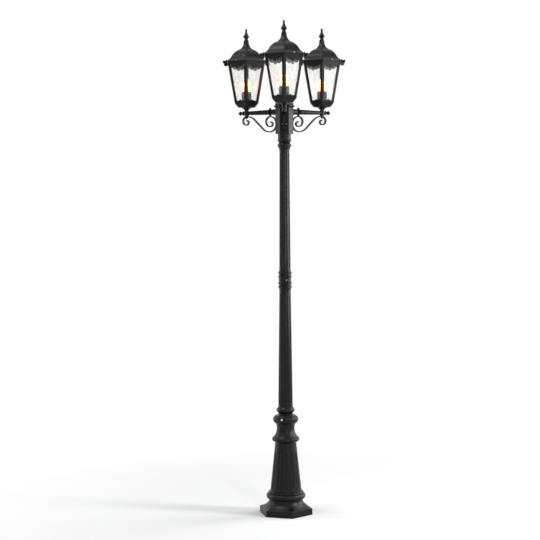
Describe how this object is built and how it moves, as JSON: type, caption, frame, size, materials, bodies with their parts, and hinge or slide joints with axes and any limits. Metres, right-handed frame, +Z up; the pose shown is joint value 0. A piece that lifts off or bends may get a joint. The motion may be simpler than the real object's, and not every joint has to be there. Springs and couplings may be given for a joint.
{
  "type": "lamp post",
  "caption": "Tall fluted garden lamp post on a hexagonal foot, with six-sided lanterns standing on scroll-braced arms around its top.",
  "frame": {"origin": "centre of the foot's underside, on the post's axis, at ground level", "axes": "+Z up along the post; -Y is the way the first arm points, which is the side that faces the viewer; +X to the viewer's right"},
  "size_m": [0.5562, 0.5408, 2.201],
  "materials": {
    "black_paint": "satin black paint over castings and tubes",
    "black_stud": "zinc-plated threaded tube",
    "lantern_glass": "clear rippled glass",
    "bulb_glass": "clear lamp glass",
    "lampholder": "black moulded plastic",
    "lamp_cap": "plated lamp cap",
    "filament": "warm lit filament sticks on a glass post",
    "zinc_screw": "bright zinc plate",
    "terminal_block": "pale plastic"
  },
  "bodies": {
    "post": {"foot_casting": "black_paint", "lower_pole": "black_paint", "pole_coupling": "black_paint", "upper_pole": "black_paint", "top_collar": "black_paint", "hub": "black_paint", "hub_cap": "black_paint", "set_screws": "zinc_screw", "bracket_screws": "zinc_screw", "terminal_block": "terminal_block", "stem_nuts": "black_paint", "bowl_1": "black_paint", "cage_1": "black_paint", "glass_panes_1": "lantern_glass", "lampholder_1": "lampholder", "stem_1": "black_stud", "arm_1": "black_paint", "arm_collar_1": "black_paint", "arm_knob_1": "black_paint", "scroll_bracket_1": "black_paint", "bowl_2": "black_paint", "cage_2": "black_paint", "glass_panes_2": "lantern_glass", "lampholder_2": "lampholder", "stem_2": "black_stud", "arm_2": "black_paint", "arm_collar_2": "black_paint", "arm_knob_2": "black_paint", "scroll_bracket_2": "black_paint", "bowl_3": "black_paint", "cage_3": "black_paint", "glass_panes_3": "lantern_glass", "lampholder_3": "lampholder", "stem_3": "black_stud", "arm_3": "black_paint", "arm_collar_3": "black_paint", "arm_knob_3": "black_paint", "scroll_bracket_3": "black_paint"},
    "roof_1": {"roof_1": "black_paint", "finial_1": "black_paint", "roof_screws_1": "zinc_screw"},
    "lamp_1": {"bulb_cap_1": "lamp_cap", "bulb_glass_1": "bulb_glass", "filament_1": "filament"},
    "roof_2": {"roof_2": "black_paint", "finial_2": "black_paint", "roof_screws_2": "zinc_screw"},
    "lamp_2": {"bulb_cap_2": "lamp_cap", "bulb_glass_2": "bulb_glass", "filament_2": "filament"},
    "roof_3": {"roof_3": "black_paint", "finial_3": "black_paint", "roof_screws_3": "zinc_screw"},
    "lamp_3": {"bulb_cap_3": "lamp_cap", "bulb_glass_3": "bulb_glass", "filament_3": "filament"}
  },
  "joints": [
    {"name": "roof_lift_1", "type": "slide", "parent": "post", "child": "roof_1", "axis": [0, 0, 1], "range_m": [0, 0.12]},
    {"name": "lamp_turn_1", "type": "hinge", "parent": "post", "child": "lamp_1", "pos_m": [0, -0.1985, 1.89], "axis": [0, 0, 1], "continuous": true},
    {"name": "roof_lift_2", "type": "slide", "parent": "post", "child": "roof_2", "axis": [0, 0, 1], "range_m": [0, 0.12]},
    {"name": "lamp_turn_2", "type": "hinge", "parent": "post", "child": "lamp_2", "pos_m": [0.17191, 0.09925, 1.89], "axis": [0, 0, 1], "continuous": true},
    {"name": "roof_lift_3", "type": "slide", "parent": "post", "child": "roof_3", "axis": [0, 0, 1], "range_m": [0, 0.12]},
    {"name": "lamp_turn_3", "type": "hinge", "parent": "post", "child": "lamp_3", "pos_m": [-0.17191, 0.09925, 1.89], "axis": [0, 0, 1], "continuous": true}
  ]
}
